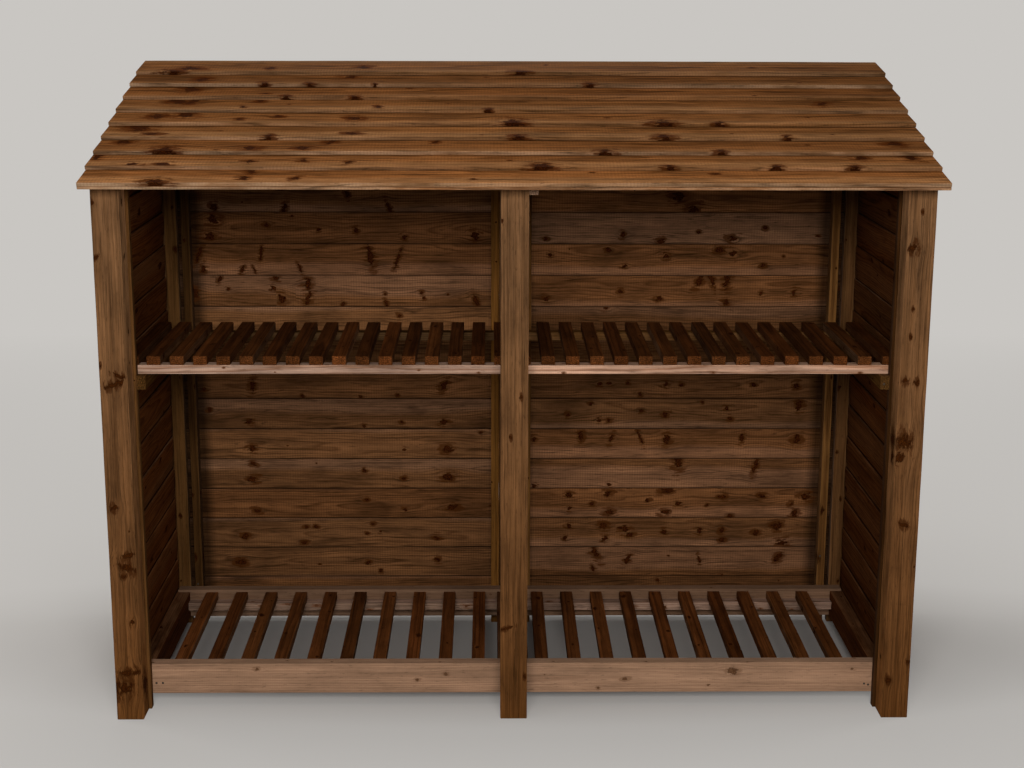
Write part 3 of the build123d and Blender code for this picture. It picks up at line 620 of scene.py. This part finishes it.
def makeTimbers(node, kind, seed):
    ways = along, across, through = kind["along"], kind["across"], kind["along"].cross(kind["across"])
    bm = cutTimbers(node, kind)
    grainLayer = bm.verts.layers.float_vector.new("grain")
    tintLayer = bm.verts.layers.float_vector.new("tint")
    paleLayer = bm.verts.layers.float.new("edgePale")
    kindLayer = bm.faces.layers.float.new("faceKind")
    lapLayer = bm.loops.layers.float.new("lapRise")
    knotLayers = [bm.loops.layers.float_vector.new(name) for name in ("knotOdd", "knotEven")]
    timbers = findTimbers(bm, ways)
    setPhotoKnots(node, kind, timbers, ways)
    pithShares, lights = [kind.get(key, {}).get(node, ()) for key in ("pithShare", "light")]
    shade = kind.get("shade", {}).get(node, (1, 1, 1))
    ends = [kind.get(key, (1, 1, 1)) for key in ("startTint", "endTint")]
    corner = kind.get("corner", {}).get(node, 0)  # painted shade on the end of a board tucked in the recess behind the wall
    bow = kind["bow"] * mm
    for index, timber in enumerate(timbers):
        rng = random.Random(seed * 100 + index)
        middle, size = timber["middle"], timber["size"]
        pith = [rng.uniform(*timberMake["pithStart"]), rng.uniform(*timberMake["pithSide"]) * size[1],
                rng.uniform(*timberMake["pithDepth"]) + size[2]]
        light = rng.uniform(*timberMake["light"])
        if index < len(pithShares):
            pith[1:] = pithShares[index] * size[1], timberMake["setPithDepth"] + size[2]
        if index < len(lights):
            light = lights[index]
        warm = rng.uniform(*timberMake["warm"])
        tint = Vector((shade[0] * light * (1 + warm), shade[1] * light, shade[2] * light * (1 - warm)))
        pales = [rng.uniform(*timberMake["edgePale"])] * 3
        if "edgePale" in kind:
            pales = kind["edgePale"][index]
        growKnots(kind, timber, rng)

        inward = through if through.dot(middle) < 0 else -through
        for face in {face for vert in timber["verts"] for face in vert.link_faces}:
            turned = [abs(face.normal.dot(way)) for way in ways]
            isEnd = turned[0] > timberMake["endTurn"]
            side, sideways = ("broad", across) if turned[2] >= turned[1] else ("narrow", through)
            face[kindLayer] = 1.0 if isEnd else 0.5 if side == "narrow" else 0.0
            isInner = face.normal.dot(inward) > timberMake["lapTurn"]
            hasLap = "lap" in kind and index > 0 and side == "broad" and isInner
            for loop in face.loops:
                rise = (loop.vert.co - middle).dot(across) + size[1]
                loop[lapLayer] = rise - kind["lap"] * mm if hasLap else 1.0
            centre = (face.calc_center_median() - middle).dot(along)
            for layer, chosen in zip(knotLayers, (timber[side][0::2], timber[side][1::2])):
                if isEnd or not chosen:
                    for loop in face.loops:
                        loop[layer] = farKnot
                    continue
                knot = min(chosen, key=lambda k: abs(k[0] - centre))
                lean = 0
                if knot[3] > timberMake["spikeShape"] * knot[2]:  # spike knots lean
                    lean = timberMake["spikeLean"] * math.sin(knot[0] * timberMake["spikeTurn"])
                for loop in face.loops:
                    spot = loop.vert.co - middle
                    rise = spot.dot(sideways) - knot[1]
                    loop[layer] = ((spot.dot(along) - knot[0] + lean * rise) / knot[2], rise / knot[3],
                                   min(knot[2:]))

        for vert in timber["verts"]:
            spot = vert.co - middle
            place = spot.dot(along)
            vert[grainLayer] = (place + pith[0] + index * timberMake["grainStep"],
                                spot.dot(across) - pith[1], spot.dot(through) - pith[2])
            rise = (place / size[0] + 1) / 2
            dim = 1
            # outer faces keep at most outerLight of the timber's tone, which is partly painted light for
            # the inner face
            if vert.normal.dot(inward) <= 0:
                dim = min(1, kind.get("outerLight", light) / light)
            elif corner and size[0] - place * corner < kind["cornerReach"] * mm:
                dim = kind["cornerShade"]
            vert[tintLayer] = [value * (start + (end - start) * rise) * dim
                               for value, start, end in zip(tint, *ends)]
            far = abs(place / size[0])
            vert[paleLayer] = pales[1] * (1 - far) + pales[0 if place < 0 else 2] * far
            slow, quick = [noise.noise(Vector((place * wave["wave"],
                                               seed * wave["bySeed"] + index * wave["byIndex"],
                                               wave["layer"])))
                           for wave in (timberMake["slowBow"], timberMake["quickBow"])]
            vert.co += through * (slow * bow) + across * (quick * bow * timberMake["quickShare"])
            vert.co = [min(max(value, low), high) for value, low, high in zip(vert.co, cadLow, cadHigh)]
    piece = addPiece(node + "_timber", bm, woods[kind["wood"]])
    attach(piece, "root")
    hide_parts(node)


seed = 0
for kind in timberKinds:
    for node in kind["nodes"]:
        seed += 1
        makeTimbers(node, kind, seed)
    print("timbers made:", kind["slot"], len(kind["nodes"]))

# nail heads read off the photograph, on the front faces of these nodes; sizes in mm
nails = {"radius": 3.2, "proud": 0.8, "sunk": 1.2, "sides": 16, "arris": 0.4, "arrisSteps": 2,
         "dark": "#2e2721", "pale": "#584f46", "speckle": 1.5, "metallic": 0.85, "roughness": (0.4, 0.7),
         "spots": {"floor_left_front_rail": [(156.5, 683), (163, 683)],
                   "floor_right_front_rail": [(864, 683.5), (868, 684.5)],
                   "back_left_outer_batten": [(198, 584)], "back_right_outer_batten": [(820, 556)],
                   "shelf_right_bearer": [(884, 384)]}}
# dulled zinc nail: a small flat head in matt grey steel that glints a little
nailSteel = bpy.data.materials.new("dulled_zinc_nail")
tree = startNodes(nailSteel)
nailAt = addNode(tree, "TexCoord").outputs["Object"]
dulled = addNode(tree, "TexNoise", {"Vector": nailAt, "Scale": 1 / (nails["speckle"] * mm),
                                    "Detail": 3.0})
nailTone = addNode(tree, "Mix", {0: dulled, 6: toLinear(nails["dark"]), 7: toLinear(nails["pale"])},
                   data_type="RGBA").outputs[2]
nailRough = addNode(tree, "MapRange", {0: dulled, 3: nails["roughness"][0], 4: nails["roughness"][1]})
nailShader = addNode(tree, "BsdfPrincipled", {"Base Color": nailTone, "Metallic": nails["metallic"],
                                              "Roughness": nailRough})
addNode(tree, "OutputMaterial", {"Surface": nailShader})

bm = bmesh.new()
facing = Matrix.Rotation(math.radians(90), 4, "X")
for node, spots in nails["spots"].items():
    front = min(vert.co.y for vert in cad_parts[node].data.vertices)
    for px, py in spots:
        place = photoSpot(px, py, Vector((0, front, 0)), -alongY)
        place.y += (nails["sunk"] - nails["proud"]) * mm / 2
        bmesh.ops.create_cone(bm, cap_ends=True, segments=nails["sides"], radius1=nails["radius"] * mm,
                              radius2=nails["radius"] * mm, depth=(nails["sunk"] + nails["proud"]) * mm,
                              matrix=Matrix.Translation(place) @ facing)
rims = [edge for edge in bm.edges if any(len(face.verts) > 4 for face in edge.link_faces)]
bmesh.ops.bevel(bm, geom=rims, offset=nails["arris"] * mm, offset_type="OFFSET",
                segments=nails["arrisSteps"], profile=0.5, affect="EDGES", material=-1,
                clamp_overlap=True)
nailHeads = addPiece("nail_heads", bm, nailSteel)
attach(nailHeads, "root")
print("nail heads made:", sum(len(spots) for spots in nails["spots"].values()))

# lengths in metres; to the camera the floor turns to one even pale tone away from the store
studio = {
    "floorRadius": 90.0, "floorSides": 64, "floorColour": "#c4c0bb", "seenColour": "#c9c6c2",
    "farReach": 5.0, "reachFrom": (0, 0.2, 0), "reachScale": (0.3, 1, 0),
    "seenShare": ((0.07, 0), (0.135, 0.5), (0.25, 0.62), (1, 1)),
    "worldColour": "#ffffff", "worldStrength": 0.06,
    "softboxes": {
        "front_softbox": {"place": (-0.1, -5.4, 3.0), "aim": (0, 0, 0.8), "size": (2.8, 1.6),
                          "power": 205.0},
        "top_softbox": {"place": (-0.75, 0.2, 5.0), "aim": (-0.1, 0.1, 1.6), "size": (3.4, 2.0),
                        "power": 71.0},
        "left_softbox": {"place": (-5.0, 1.0, 2.4), "aim": (-1.1, 0.1, 0.8), "size": (2.0, 1.6),
                         "power": 60.0},
        "right_softbox": {"place": (5.0, 1.0, 2.4), "aim": (1.1, 0.1, 0.8), "size": (2.0, 1.6),
                          "power": 60.0},
        "back_softbox": {"place": (0, 5.2, 2.9), "aim": (0, 0.4, 0.8), "size": (2.8, 1.6),
                         "power": 95.0},
    },
}


def seenDirectly(tree):  # 1 where the camera looks at a thing, plainly or by a mirror or glass
    path = addNode(tree, "LightPath").outputs
    seen = path["Is Camera Ray"]
    for ray in ("Is Glossy Ray", "Is Transmission Ray"):
        seen = addNode(tree, "Math", {0: seen, 1: path[ray]}, operation="MAXIMUM")
    return seen


floorMaterial = bpy.data.materials.new("plain_pale_floor")  # matt painted studio floor, an even pale grey
tree = startNodes(floorMaterial)
floorAt = addNode(tree, "TexCoord").outputs["Object"]
floorAt = addNode(tree, "VectorMath", {0: floorAt, 1: studio["reachFrom"]}, operation="SUBTRACT")
floorAt = addNode(tree, "VectorMath", {0: floorAt, 1: studio["reachScale"]}, operation="MULTIPLY")
outward = addNode(tree, "VectorMath", {0: floorAt}, operation="LENGTH").outputs["Value"]
outward = addNode(tree, "Math", {0: outward, 1: studio["farReach"]}, operation="DIVIDE")
outward = addNode(tree, "ValToRGB", {0: outward}, stops=studio["seenShare"])
seenShare = addNode(tree, "Math", {0: seenDirectly(tree), 1: outward}, operation="MULTIPLY")
matt = addNode(tree, "BsdfDiffuse", {"Color": toLinear(studio["floorColour"])})
even = addNode(tree, "Emission", {"Color": toLinear(studio["seenColour"]), "Strength": 1.0})
floorShader = addNode(tree, "MixShader", {0: seenShare, 1: matt, 2: even})
addNode(tree, "OutputMaterial", {"Surface": floorShader})
bm = bmesh.new()
bmesh.ops.create_circle(bm, cap_ends=True, segments=studio["floorSides"], radius=studio["floorRadius"])
floor = addPiece("floor", bm, floorMaterial)

world = bpy.data.worlds.new("studio")
scene.world = world
tree = startNodes(world)
fill = addNode(tree, "Background", {"Color": toLinear(studio["worldColour"]),
                                    "Strength": studio["worldStrength"]})
seen = addNode(tree, "Background", {"Color": toLinear(studio["seenColour"]), "Strength": 1.0})
blend = addNode(tree, "MixShader", {0: seenDirectly(tree), 1: fill, 2: seen})
addNode(tree, "OutputWorld", {"Surface": blend})

for name, softbox in studio["softboxes"].items():
    lamp = bpy.data.lights.new(name, "AREA")
    lamp.shape = "RECTANGLE"
    lamp.size, lamp.size_y = softbox["size"]
    lamp.energy = softbox["power"]
    light = bpy.data.objects.new(name, lamp)
    scene.collection.objects.link(light)
    light.location = softbox["place"]
    light.rotation_euler = (Vector(softbox["aim"]) - light.location).to_track_quat("-Z", "Y").to_euler()
    light.visible_camera = False
scene.view_settings.view_transform = "Standard"
print("studio set")
